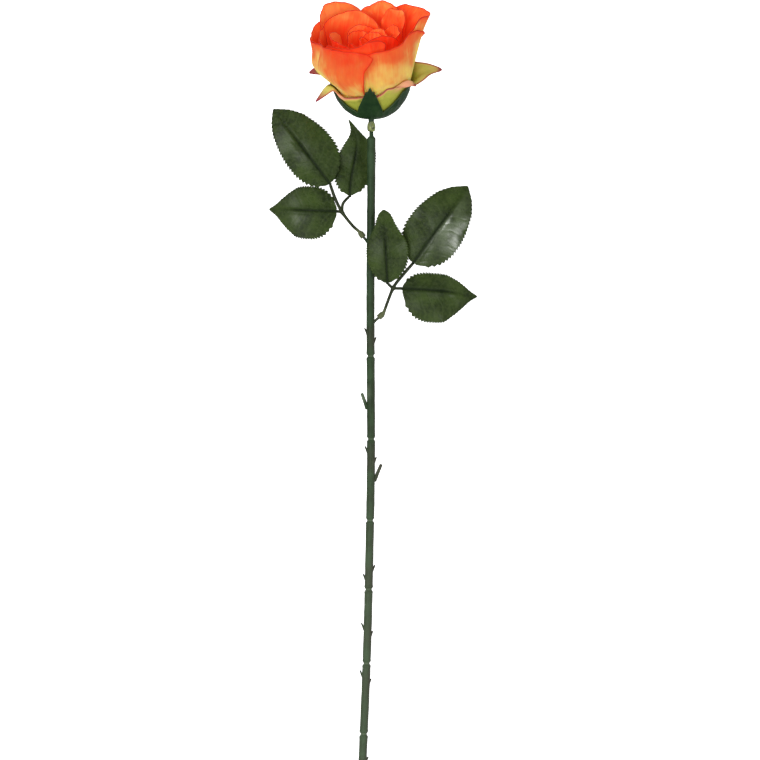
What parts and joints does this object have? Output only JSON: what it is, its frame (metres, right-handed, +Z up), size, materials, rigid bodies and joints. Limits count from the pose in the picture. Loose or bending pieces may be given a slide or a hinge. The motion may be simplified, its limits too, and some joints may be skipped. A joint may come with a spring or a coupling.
{
  "type": "artificial rose stem",
  "caption": "artificial long-stemmed rose lying flat: orange fabric petals in layers, green calyx, moulded plastic stem over a wire, and two sprays of serrated fabric leaves",
  "frame": {"origin": "centre of the footprint, on the surface the rose lies on", "axes": "+Y along the stem towards the bloom, +X to the right of the stem seen from above, +Z up"},
  "size_m": [0.1459, 0.5517, 0.0767],
  "materials": {
    "stem_plastic": "moulded green plastic, satin",
    "steel": "plain wire",
    "core_plastic": "moulded olive plastic",
    "calyx_plastic": "moulded dark green plastic, soft sheen",
    "guard_fabric": "yellow-green printed fabric with red edges",
    "petal_fabric": "thin fabric dyed yellow at the base to orange and red at the rim",
    "stalk_plastic": "moulded green plastic",
    "leaf_fabric": "coated dark green fabric with embossed veins"
  },
  "bodies": {
    "root": {"stem": "stem_plastic", "stem_wire": "steel", "flower_core": "core_plastic", "calyx": "calyx_plastic", "petals_guard": "guard_fabric", "petals_outer": "petal_fabric", "petals_second": "petal_fabric", "petals_middle": "petal_fabric", "petals_inner": "petal_fabric", "petals_bud": "petal_fabric", "leaf_stalk_left": "stalk_plastic", "leaf_stalk_right": "stalk_plastic", "leaflet_left_tip": "leaf_fabric", "leaflet_left_upper": "leaf_fabric", "leaflet_left_lower": "leaf_fabric", "leaflet_right_tip": "leaf_fabric", "leaflet_right_upper": "leaf_fabric", "leaflet_right_lower": "leaf_fabric"}
  },
  "joints": []
}
